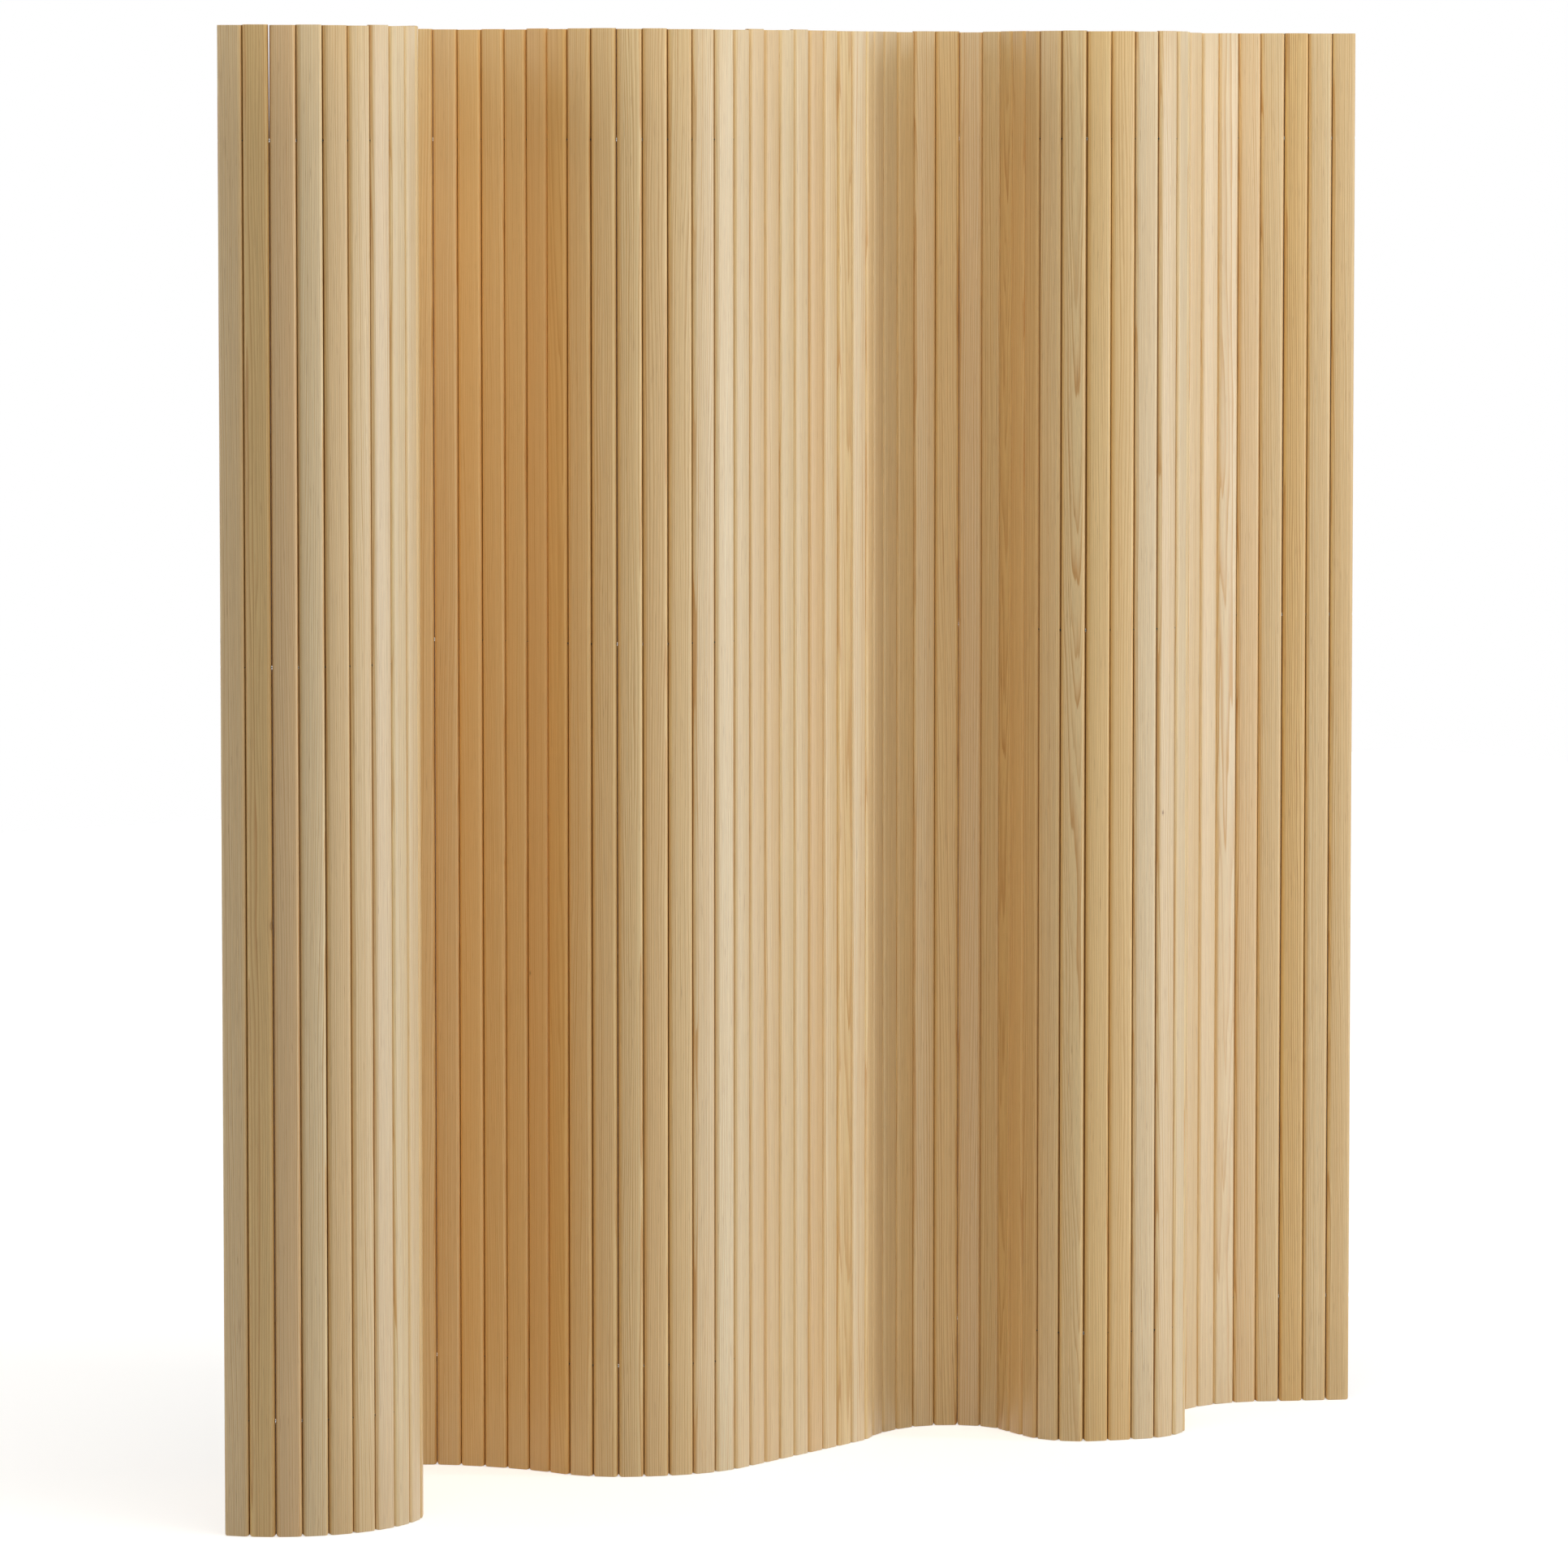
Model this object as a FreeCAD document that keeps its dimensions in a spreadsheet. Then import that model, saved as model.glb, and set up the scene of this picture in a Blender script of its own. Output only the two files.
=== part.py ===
import FreeCAD, Part
import math
import os

# A free-standing slat screen. Upright pine slats stand side by side and are threaded on three steel
# wires that run through bores across their width, so that the screen bends at every gap, stands in
# waves and rolls up. Millimetres and degrees. Up is +Z, and the run from the first edge to the last
# one is along +X. The origin is on the floor, at the middle of the screen's plan.

Vector = FreeCAD.Vector
Rotation = FreeCAD.Rotation
Placement = FreeCAD.Placement

UP = Vector(0, 0, 1)
HALF_TURN = 180
QUARTER_TURN = 90

SIZES = [
    ("slat_height", 1500, "height of every slat"),
    ("slat_width", 26, "width of a slat, over its rounded edges"),
    ("slat_thickness", 10, "thickness of a slat, and the diameter of its rounded edges"),
    ("slat_gap", 0.35, "gap between two slats at the wire, where the screen bends"),
    ("corner_easing", 3, "easing of the two lower corners, along the floor and up the edge"),
    ("bore_diameter", 4.2, "wire bore, over its corners"),
    ("low_wire_height", 116, "lower wire above the floor"),
    ("middle_wire_height", 867, "middle wire above the floor"),
    ("top_wire_drop", 114, "upper wire below the top of the slats"),
    ("wire_diameter", 2, "steel wire, over its corners"),
    ("wire_clearance", 0.1, "least room between a wire and the wall of its bore"),
    ("sleeve_diameter", 5, "crimped sleeve on a wire's end, over its corners"),
    ("sleeve_length", 6, "length of a sleeve"),
    ("sleeve_clearance", 0.1, "room between a sleeve and the wire in it"),
    ("seat_depth", 8, "depth of a sleeve's seat in the outer edge of an end slat"),
    ("seat_clearance", 0.3, "room around a sleeve in its seat"),
    ("wire_tail", 0.6, "wire that stands out of its sleeve"),
    ("pair_turn_limit", 13, "two slats stay together where the gap between them turns by less"),
    ("cut_overrun", 1, "how far a cut runs past the face that it opens"),
]

# Flats that draw a round edge, a bore with its sleeve, the wire, and the square that eases a corner.
ROUND_FLATS = 8
BORE_FLATS = 6
WIRE_FLATS = 4
SQUARE_FLATS = 4

# The standing wave, from the near end to the far one: how many gaps each bend has, and how far each
# of its gaps turns the screen to the left.
BENDS = [
    ("near_curl", 8, 10.7),
    ("curl_side", 2, 19.3),
    ("curl_back", 5, 6.0),
    ("back_fold", 11, -13.6),
    ("bow_entry", 5, -5.5),
    ("bow_rise", 3, 14.9),
    ("bow_front", 2, 7.1),
    ("bow_fall", 3, 11.3),
    ("long_flat", 8, 0.1),
    ("flat_end", 1, 19.5),
    ("valley_lip", 3, -10.2),
    ("valley", 3, -19.8),
    ("valley_exit", 2, -23.7),
    ("valley_side", 2, 2.3),
    ("right_rise", 3, 24.0),
    ("right_front", 2, 3.4),
    ("right_fall", 4, 22.0),
    ("side_easing", 3, -10.6),
    ("right_fold", 6, -11.8),
    ("far_end", 3, 1.4),
]

doc = FreeCAD.newDocument("slat_screen")
sheet = doc.addObject("Spreadsheet::Sheet", "sizes")


def fill_sheet():
    """Write every driving size into the sheet, one row each: name, value, what it is."""
    rows = list(SIZES)
    for bend, gaps, turn in BENDS:
        rows.append((bend + "_gaps", gaps, "gaps in this bend"))
        rows.append((bend + "_turn", turn, "turn at each of them"))
    for number, (alias, value, note) in enumerate(rows, start=1):
        sheet.set("A%d" % number, alias)
        sheet.set("B%d" % number, str(value))
        sheet.set("C%d" % number, note)
        sheet.setAlias("B%d" % number, alias)
    doc.recompute()


def size(alias):
    return float(sheet.get(alias))


def bind(item, **properties):
    """Tie properties to expressions on the sheet; a double underscore stands for a dot."""
    for name, expression in properties.items():
        item.setExpression(name.replace("__", "."), expression)


def prism(name, flats, turned, **properties):
    """A regular prism, turned onto its axis, with its sizes and place from the sheet."""
    item = doc.addObject("Part::Prism", name)
    item.Polygon = flats
    item.Placement = Placement(Vector(), turned)
    bind(item, **properties)
    return item


def boolean(kind, name, base, tool):
    item = doc.addObject(kind, name)
    item.Base = base
    item.Tool = tool
    return item


def fuse(name, pieces):
    item = doc.addObject("Part::MultiFuse", name)
    item.Shapes = pieces
    return item


ALONG_Z = Rotation()
ALONG_X = Rotation(Vector(0, 1, 0), QUARTER_TURN)
ALONG_Y = Rotation(Vector(1, 0, 0), -QUARTER_TURN)
WIRE_ALONG_X = ALONG_X.multiply(Rotation(UP, HALF_TURN / WIRE_FLATS))

TURNED_ROUND = Placement(Vector(), Rotation(UP, HALF_TURN))

WIRE_HEIGHTS = {
    "low": "sizes.low_wire_height",
    "middle": "sizes.middle_wire_height",
    "top": "(sizes.slat_height - sizes.top_wire_drop)",
}


# The slat stands on the floor with its width along X.
def make_blank():
    """The planed strip: a flat board whose two long edges are rounds drawn with flats."""
    board = doc.addObject("Part::Box", "slat_board")
    bind(
        board,
        Length="sizes.slat_width - sizes.slat_thickness",
        Width="sizes.slat_thickness",
        Height="sizes.slat_height",
        Placement__Base__x="-(sizes.slat_width - sizes.slat_thickness) / 2",
        Placement__Base__y="-sizes.slat_thickness / 2",
    )
    edges = []
    for side, sign in (("left", "-"), ("right", "")):
        edge = prism(
            side + "_edge_round",
            ROUND_FLATS,
            ALONG_Z,
            Circumradius="sizes.slat_thickness / 2",
            Height="sizes.slat_height",
            Placement__Base__x=sign + "(sizes.slat_width - sizes.slat_thickness) / 2",
        )
        edges.append(edge)
    return fuse("slat_blank", [board] + edges)


def make_slat(blank):
    """The blank with its three wire bores and its two eased lower corners."""
    cuts = []
    for level, height in WIRE_HEIGHTS.items():
        bore = prism(
            level + "_bore",
            BORE_FLATS,
            ALONG_X,
            Circumradius="sizes.bore_diameter / 2",
            Height="sizes.slat_width + 2 * sizes.cut_overrun",
            Placement__Base__x="-sizes.slat_width / 2 - sizes.cut_overrun",
            Placement__Base__z=height,
        )
        cuts.append(bore)
    for side, sign in (("left", "-"), ("right", "")):
        corner = prism(
            side + "_corner_cut",
            SQUARE_FLATS,
            ALONG_Y,
            Circumradius="sizes.corner_easing",
            Height="sizes.slat_thickness + 2 * sizes.cut_overrun",
            Placement__Base__x=sign + "sizes.slat_width / 2",
            Placement__Base__y="-sizes.slat_thickness / 2 - sizes.cut_overrun",
        )
        cuts.append(corner)
    return boolean("Part::Cut", "slat", blank, fuse("slat_cuts", cuts))


def make_end_slat(slat):
    """A slat with a seat for each wire's sleeve in its outer edge, the one at -X."""
    seats = []
    for level, height in WIRE_HEIGHTS.items():
        seat = prism(
            level + "_seat",
            BORE_FLATS,
            ALONG_X,
            Circumradius="sizes.sleeve_diameter / 2 + sizes.seat_clearance",
            Height="sizes.seat_depth + sizes.cut_overrun",
            Placement__Base__x="-sizes.slat_width / 2 - sizes.cut_overrun",
            Placement__Base__z=height,
        )
        seats.append(seat)
    return boolean("Part::Cut", "end_slat", slat, fuse("sleeve_seats", seats))


def make_sleeve(level, height):
    """A crimped sleeve, bottomed in its seat in an end slat."""
    place = {
        "Placement__Base__x": "-sizes.slat_width / 2 + sizes.seat_depth - sizes.sleeve_length",
        "Placement__Base__z": height,
    }
    outside = prism(
        level + "_sleeve_outside",
        BORE_FLATS,
        ALONG_X,
        Circumradius="sizes.sleeve_diameter / 2",
        Height="sizes.sleeve_length",
        **place,
    )
    inside = prism(
        level + "_sleeve_inside",
        WIRE_FLATS,
        WIRE_ALONG_X,
        Circumradius="sizes.wire_diameter / 2 + sizes.sleeve_clearance",
        Height="sizes.sleeve_length",
        **place,
    )
    return boolean("Part::Cut", level + "_sleeve", outside, inside)


# The standing wave in plan.
def gap_turns():
    """The turn at every gap, from the near end to the far one."""
    turns = []
    for bend, _, _ in BENDS:
        turns += [size(bend + "_turn")] * int(round(size(bend + "_gaps")))
    return turns


def direction(heading):
    angle = math.radians(heading)
    return Vector(math.cos(angle), math.sin(angle), 0)


def chain(turns, heading, corner):
    """Heading of every slat, and the gap centres that the slats run between, from one corner on."""
    pitch = size("slat_width") + size("slat_gap")
    headings, centres = [], [corner]
    for turn in turns + [0]:
        headings.append(heading)
        centres.append(centres[-1] + direction(heading) * pitch)
        heading += turn
    return headings, centres


def slat_places(headings, centres):
    places = []
    for number, heading in enumerate(headings):
        middle = (centres[number] + centres[number + 1]) / 2
        places.append(Placement(middle, Rotation(UP, heading)))
    return places


def standing_wave(slat):
    """The chain with its run along X and the middle of its plan at the origin."""
    turns = gap_turns()
    headings, centres = chain(turns, 0, Vector())
    run = centres[-1] - centres[0]
    first_heading = -math.degrees(math.atan2(run.y, run.x))
    headings, centres = chain(turns, first_heading, Vector())
    corners = []
    for place in slat_places(headings, centres):
        for vertex in slat.Shape.Vertexes:
            corners.append(place.multVec(vertex.Point))
    across = [corner.x for corner in corners]
    deep = [corner.y for corner in corners]
    middle = Vector((min(across) + max(across)) / 2, (min(deep) + max(deep)) / 2, 0)
    centres = [centre - middle for centre in centres]
    return turns, headings, centres


def slat_groups(turns):
    """Numbers of the slats in each moving piece: one, or two where the gap between them turns little."""
    groups, number = [], 0
    while number <= len(turns):
        together = number < len(turns) and abs(turns[number]) < size("pair_turn_limit")
        group = [number, number + 1] if together else [number]
        groups.append(group)
        number = group[-1] + 1
    return groups


# The wires.
def wire_play():
    """How far a wire may stand off the middle of its bore, square to the slat's face."""
    bore = size("bore_diameter") / 2 * math.cos(math.pi / BORE_FLATS)
    wire = size("wire_diameter") / 2 * math.cos(math.pi / WIRE_FLATS)
    return bore - wire - size("wire_clearance")


class Route:
    """A plan line of straight runs joined by tangent arcs."""

    def __init__(self, start, heading):
        self.start = start
        self.first_heading = heading
        self.at = start
        self.heading = heading
        self.waiting = 0
        self.edges = []
        self.radii = []

    def run(self, length):
        self.waiting += length

    def draw_run(self):
        if self.waiting > 0:
            end = self.at + direction(self.heading) * self.waiting
            self.edges.append(Part.LineSegment(self.at, end).toShape())
            self.at = end
            self.waiting = 0

    def bend(self, radius, turn):
        """An arc to the left for a turn over zero, to the right for one under."""
        self.draw_run()
        side = math.copysign(QUARTER_TURN, turn)
        centre = self.at + direction(self.heading + side) * radius
        middle = centre - direction(self.heading + turn / 2 + side) * radius
        end = centre - direction(self.heading + turn + side) * radius
        self.edges.append(Part.Arc(self.at, middle, end).toShape())
        self.at = end
        self.heading += turn
        self.radii.append(radius)


def wire_route(headings, centres):
    """The wires' line through every bore: as smooth as the bores leave room for."""
    half_pitch = (size("slat_width") + size("slat_gap")) / 2
    inset = size("seat_depth") - size("sleeve_length") - size("wire_tail")
    tail = size("slat_width") / 2 - inset
    first = (centres[0] + centres[1]) / 2
    route = Route(first - direction(headings[0]) * tail, headings[0])
    route.run(tail)
    for bend, _, _ in BENDS:
        gaps = int(round(size(bend + "_gaps")))
        turn = size(bend + "_turn")
        if turn == 0:
            route.run(gaps * 2 * half_pitch)
            continue
        tangent = wire_play() / math.tan(math.radians(abs(turn)) / 4)
        if tangent >= half_pitch:
            radius = half_pitch / math.tan(math.radians(abs(turn)) / 2)
            route.bend(radius, gaps * turn)
            continue
        radius = tangent / math.tan(math.radians(abs(turn)) / 2)
        for _ in range(gaps):
            route.run(half_pitch - tangent)
            route.bend(radius, turn)
            route.run(half_pitch - tangent)
    route.run(tail)
    route.draw_run()
    return route


def make_wire(route):
    """One wire on the floor, drawn along the whole route."""
    spine = doc.addObject("Part::Feature", "wire_line")
    spine.Shape = Part.Wire(route.edges)
    section = doc.addObject("Part::RegularPolygon", "wire_section")
    section.Polygon = WIRE_FLATS
    bind(section, Circumradius="sizes.wire_diameter / 2")
    turned = Rotation(UP, route.first_heading).multiply(WIRE_ALONG_X)
    section.Placement = Placement(route.start, turned)
    wire = doc.addObject("Part::Sweep", "wire")
    wire.Sections = [section]
    names = ["Edge%d" % (number + 1) for number in range(len(route.edges))]
    wire.Spine = (spine, names)
    wire.Solid = True
    wire.Frenet = False
    return wire


# The pieces, each in its own node.
def link(name, source, place):
    item = doc.addObject("App::Link", name)
    item.LinkedObject = source
    item.Placement = place
    return item


def node(name, pieces, place):
    item = doc.addObject("Part::Compound", name)
    item.Label = name
    item.Links = pieces
    item.Placement = place
    return item


def slat_node(group, slat, end_slat, places):
    """A moving piece: its first slat is at the node's own place, a second one stands beside it."""
    numbers = [number + 1 for number in group]
    name = "slat_%02d" % numbers[0] if len(group) == 1 else "slats_%02d_%02d" % tuple(numbers)
    here = places[group[0]]
    pieces = []
    for number in group:
        place = here.inverse().multiply(places[number])
        source = slat
        if number == 0:
            source = end_slat
        if number == len(places) - 1:
            source = end_slat
            place = place.multiply(TURNED_ROUND)
        pieces.append(link("strip_%02d" % (number + 1), source, place))
    return node(name, pieces, here)


def wire_node(level, height, wire):
    item = node(level + "_wire", [link(level + "_strand", wire, Placement())], Placement())
    bind(item, Placement__Base__z=height)
    return item


def sleeve_node(name, sleeves, place):
    pieces = [link(name + "_" + sleeve.Name, sleeve, Placement()) for sleeve in sleeves]
    return node(name, pieces, place)


def check_document():
    for item in doc.Objects:
        if "Invalid" in item.State or "Error" in item.State:
            raise RuntimeError("%s did not build: %s" % (item.Label, item.State))


def export(nodes):
    os.makedirs("parts", exist_ok=True)
    for item in nodes:
        shape = item.Shape
        if shape.isNull() or not shape.isValid() or not shape.Solids:
            raise RuntimeError("%s has no valid solid" % item.Label)
        shape.exportStep("parts/%s.step" % item.Label)


fill_sheet()
slat = make_slat(make_blank())
end_slat = make_end_slat(slat)
sleeves = [make_sleeve(level, height) for level, height in WIRE_HEIGHTS.items()]
doc.recompute()

turns, headings, centres = standing_wave(slat)
places = slat_places(headings, centres)
groups = slat_groups(turns)
route = wire_route(headings, centres)
wire = make_wire(route)
doc.recompute()

nodes = [slat_node(group, slat, end_slat, places) for group in groups]
nodes += [wire_node(level, height, wire) for level, height in WIRE_HEIGHTS.items()]
nodes.append(sleeve_node("near_end_sleeves", sleeves, places[0]))
nodes.append(sleeve_node("far_end_sleeves", sleeves, places[-1].multiply(TURNED_ROUND)))
doc.recompute()
check_document()
export(nodes)

# What was made.
print("slats", len(places), "in", len(groups), "moving pieces,", len(nodes), "nodes")
section_area = WIRE_FLATS / 2 * (size("wire_diameter") / 2) ** 2 * math.sin(2 * math.pi / WIRE_FLATS)
length = sum(edge.Length for edge in route.edges)
print("wire length %.1f" % length, "volume share %.5f" % (wire.Shape.Volume / (section_area * length)))
print("wire radii", sorted(set(round(radius, 1) for radius in route.radii)))
for group in groups[:-1]:
    gap = group[-1]
    centre = centres[gap + 1]
    print("hinge %d %d %.4f %.4f %.3f" % (gap + 1, gap + 2, centre.x, centre.y, turns[gap]))
root = groups[len(groups) // 2][0]
print("root %d %.4f %.4f" % (root + 1, places[root].Base.x, places[root].Base.y))
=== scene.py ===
# %% [markdown]
# # A slat screen
#
# The screen is a row of upright pine slats, threaded side by side on three steel wires. It has no frame
# and no feet: it stands because it curves. Everything here is in metres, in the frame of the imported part,
# with the floor at height zero and the run from its first edge to its last one along +X.

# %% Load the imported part
import bpy
import bmesh
import math
import random
from mathutils import Matrix, Vector


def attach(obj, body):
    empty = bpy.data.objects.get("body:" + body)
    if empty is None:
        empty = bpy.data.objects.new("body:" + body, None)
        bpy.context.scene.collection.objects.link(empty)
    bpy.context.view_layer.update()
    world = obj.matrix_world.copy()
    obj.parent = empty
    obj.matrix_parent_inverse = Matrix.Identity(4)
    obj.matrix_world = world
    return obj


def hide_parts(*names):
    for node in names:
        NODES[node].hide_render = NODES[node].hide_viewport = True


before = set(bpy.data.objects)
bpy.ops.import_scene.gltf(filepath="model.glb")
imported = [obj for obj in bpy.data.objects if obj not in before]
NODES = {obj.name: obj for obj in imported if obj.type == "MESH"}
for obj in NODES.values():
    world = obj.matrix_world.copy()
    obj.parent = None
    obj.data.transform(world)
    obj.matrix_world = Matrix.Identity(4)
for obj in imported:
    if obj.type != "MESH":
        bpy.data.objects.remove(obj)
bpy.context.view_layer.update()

MM = 0.001

# %% [markdown]
# ## Sizes of the real object
#
# A slat is planed from a board 26 by 10 mm, its long edges are rounded to full half circles by a cutter,
# and three bores run through it from edge to edge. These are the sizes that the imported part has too.

# %% Sizes
SLAT_HEIGHT = 1500 * MM
SLAT_WIDTH = 26 * MM
SLAT_THICKNESS = 10 * MM
GAP = 0.35 * MM
PAIR_GAP = 0.05 * MM
RIDGE_GAP = 0.02 * MM
PITCH = SLAT_WIDTH + GAP
CORNER_EASING = 2.0 * MM
END_ARRIS = 0.5 * MM
BORE_DIAMETER = 3.9 * MM
WIRE_HEIGHTS = {"low": 116 * MM, "middle": 867 * MM, "top": 1386 * MM}
WIRE_DIAMETER = 1.5 * MM
SEAT_DIAMETER = 5.4 * MM
SEAT_DEPTH = 8 * MM
SLEEVE_DIAMETER = 4.6 * MM
SLEEVE_LENGTH = 6 * MM
SLAT_SIDES = 26
BORE_SIDES = 12


# %% [markdown]
# ## Where the slats stand
#
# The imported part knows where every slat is. Its corner points are grouped into separate solids, and the
# two tips of a solid's upper end, which are its points farthest apart, give the slat's middle and its
# heading. Walking from the first slat to the last one puts each pair of tips in order.

# %% Read the slats' places
SAME_POINT_DIGITS = 6
LEFT_OF_EVERYTHING = Vector((-10, 0, 0))


def solids_of(node):
    """Corner points of each separate solid of a node."""
    group_of, groups = {}, {}
    for face in node.data.polygons:
        corners = [
            tuple(round(c, SAME_POINT_DIGITS) for c in node.data.vertices[v].co) for v in face.vertices
        ]
        met = {group_of[corner] for corner in corners if corner in group_of}
        home = min(met) if met else len(groups) + len(group_of)
        groups.setdefault(home, set()).update(corners)
        for other in met - {home}:
            groups[home] |= groups.pop(other)
        for corner in groups[home]:
            group_of[corner] = home
    return list(groups.values())


def tips(solid):
    """The two points farthest apart at the upper end of a solid, in plan."""
    top = max(corner[2] for corner in solid)
    rim = [Vector((corner[0], corner[1], 0)) for corner in solid if top - corner[2] < MM]
    apart = max((one - other).length for one in rim for other in rim)
    for one in rim:
        for other in rim:
            if abs((one - other).length - apart) < MM / 1000:
                return one, other


class Slat:
    """Number, node, middle and heading of one slat, and whether a neighbour shares its node."""

    def __init__(self, number, node, start, end):
        self.number = number
        self.node = node
        self.middle = (start + end) / 2
        self.heading = math.atan2(end.y - start.y, end.x - start.x)
        self.twin_before = False
        self.twin_after = False

    def along(self, distance):
        """A point on the slat's middle line in plan."""
        return self.middle + Vector((math.cos(self.heading), math.sin(self.heading), 0)) * distance


slats = []
before = LEFT_OF_EVERYTHING
slat_nodes = [name for name in NODES if name.startswith("slat")]
for node_name in sorted(slat_nodes, key=lambda name: int(name.split("_")[1])):
    found = [tips(solid) for solid in solids_of(NODES[node_name])]
    found.sort(key=lambda pair: ((pair[0] + pair[1]) / 2 - before).length)
    for one, other in found:
        start, end = (one, other) if (one - before).length < (other - before).length else (other, one)
        slats.append(Slat(len(slats) + 1, node_name, start, end))
        before = end
    if len(found) == 2:
        slats[-2].twin_after = True
        slats[-1].twin_before = True
print("slats", len(slats), "first heading", round(math.degrees(slats[0].heading), 2))


# %% [markdown]
# ## One slat, modelled once
#
# The blank starts as a round rod that is pulled apart sideways, which is the stadium section that a
# rounding cutter leaves. Cuts at several heights break up the long faces, so that the bores cut cleanly
# and an upper end can open away from its neighbour. The lower corners are eased in two small cuts, both
# ends get a fine arris from sanding, and the three bores are drilled last.

# %% Helpers for modelling
def select_only(item):
    bpy.ops.object.select_all(action="DESELECT")
    item.select_set(True)
    bpy.context.view_layer.objects.active = item


def edit(item):
    select_only(item)
    bpy.ops.object.mode_set(mode="EDIT")
    bpy.ops.mesh.select_all(action="DESELECT")
    return bmesh.from_edit_mesh(item.data)


def leave_edit(item):
    bpy.ops.object.mode_set(mode="OBJECT")
    return item


def finish_object(item, name):
    """Place and turn go into the mesh, so that the piece's own origin is the frame's."""
    select_only(item)
    bpy.ops.object.transform_apply(location=True, rotation=True, scale=True)
    item.name = name
    item.data.name = name
    return item


def cut_level(item, height, normal=(0, 0, 1), point=None, clear_outer=False):
    """A plane cut through the whole piece, that can take off what is beyond it."""
    edit(item)
    bpy.ops.mesh.select_all(action="SELECT")
    bpy.ops.mesh.bisect(
        plane_co=point or (0, 0, height),
        plane_no=normal,
        clear_outer=clear_outer,
        use_fill=clear_outer,
    )
    return leave_edit(item)


# %% The blank of a slat
def make_blank():
    bpy.ops.mesh.primitive_cylinder_add(
        vertices=SLAT_SIDES,
        radius=SLAT_THICKNESS / 2,
        depth=SLAT_HEIGHT,
        location=(0, 0, SLAT_HEIGHT / 2),
        rotation=(0, 0, math.pi / 2),
    )
    blank = finish_object(bpy.context.object, "slat_blank")
    spread = (SLAT_WIDTH - SLAT_THICKNESS) / 2
    for side in (-1, 1):
        mesh = edit(blank)
        for vertex in mesh.verts:
            vertex.select_set(vertex.co.x * side > 0)
        mesh.select_flush_mode()
        bmesh.update_edit_mesh(blank.data)
        bpy.ops.transform.translate(value=(side * spread, 0, 0))
        leave_edit(blank)
    return blank


LEVEL_STEP = 125 * MM
BORE_ROOM = 4 * MM
EASING_LEANS = (30, 62)
EASING_SHARE = 0.54
SHARP_ANGLE = math.radians(25)
SMOOTH_ANGLE = math.radians(32)
FOOT_REACH = 1.3 * CORNER_EASING
OVERRUN = 2 * MM


def cut_levels(blank):
    """Rows of points up the slat, and two rows close around each bore."""
    heights = [LEVEL_STEP * step for step in range(1, int(SLAT_HEIGHT / LEVEL_STEP))]
    heights = [h for h in heights if min(abs(h - w) for w in WIRE_HEIGHTS.values()) > 4 * BORE_ROOM]
    for wire_height in WIRE_HEIGHTS.values():
        heights += [wire_height - BORE_ROOM, wire_height + BORE_ROOM]
    for height in sorted(heights):
        cut_level(blank, height)
    return blank


def ease_lower_corners(blank):
    """Two cuts a corner follow the round that sanding leaves there."""
    for side in (-1, 1):
        for lean in EASING_LEANS:
            angle = math.radians(lean)
            outward = (side * math.cos(angle), 0, -math.sin(angle))
            corner = Vector((side * SLAT_WIDTH / 2, 0, 0))
            point = corner - Vector(outward) * CORNER_EASING * EASING_SHARE
            cut_level(blank, 0, normal=outward, point=tuple(point), clear_outer=True)
    return blank


def sand_ends(blank):
    """A fine arris around the upper end and the foot."""
    mesh = edit(blank)
    for edge in mesh.edges:
        level = [vertex.co.z for vertex in edge.verts]
        at_top = min(level) > SLAT_HEIGHT - MM / 10
        steep = len(edge.link_faces) == 2 and edge.calc_face_angle() > SHARP_ANGLE
        at_foot = max(level) < FOOT_REACH
        edge.select_set(steep and (at_top or at_foot))
    bmesh.update_edit_mesh(blank.data)
    bpy.ops.mesh.bevel(offset=END_ARRIS, segments=2, affect="EDGES")
    return leave_edit(blank)


def drill(item, diameter, depth, start, name):
    """Round bores along the slat's width, at the three wire heights."""
    for level, height in WIRE_HEIGHTS.items():
        bpy.ops.mesh.primitive_cylinder_add(
            vertices=BORE_SIDES,
            radius=diameter / 2,
            depth=depth,
            location=(start + depth / 2, 0, height),
            rotation=(0, math.pi / 2, 0),
        )
        bit = finish_object(bpy.context.object, name + "_" + level)
        select_only(item)
        bore = item.modifiers.new(name, "BOOLEAN")
        bore.operation = "DIFFERENCE"
        bore.solver = "EXACT"
        bore.object = bit
        bpy.ops.object.modifier_apply(modifier=bore.name)
        bpy.data.objects.remove(bit)
    return item


slat_pattern = make_blank()
cut_levels(slat_pattern)
ease_lower_corners(slat_pattern)
sand_ends(slat_pattern)
drill(slat_pattern, BORE_DIAMETER, SLAT_WIDTH + 2 * OVERRUN, -SLAT_WIDTH / 2 - OVERRUN, "bore")
select_only(slat_pattern)
bpy.ops.object.shade_smooth_by_angle(angle=SMOOTH_ANGLE)
print("slat pattern faces", len(slat_pattern.data.polygons))

# %% The end slats' pattern
select_only(slat_pattern)
bpy.ops.object.duplicate()
end_pattern = bpy.context.object
drill(end_pattern, SEAT_DIAMETER, SEAT_DEPTH + OVERRUN, -SLAT_WIDTH / 2 - OVERRUN, "seat")
select_only(end_pattern)
bpy.ops.object.shade_smooth_by_angle(angle=SMOOTH_ANGLE)
print("end pattern faces", len(end_pattern.data.polygons))

# %% [markdown]
# ## The wood of each slat
#
# Every slat is sawn from a different place in a log, and this is what the eye reads in the screen: one
# slat has fine straight lines, the next one wide arches, and each has its own tone. So every slat carries
# where it lay in its log, in millimetres from the pith, and the finish cuts the growth rings from that.

# %% Where each slat lay in its log
GRAIN_SEED = 20
dice = random.Random(GRAIN_SEED)

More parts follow.
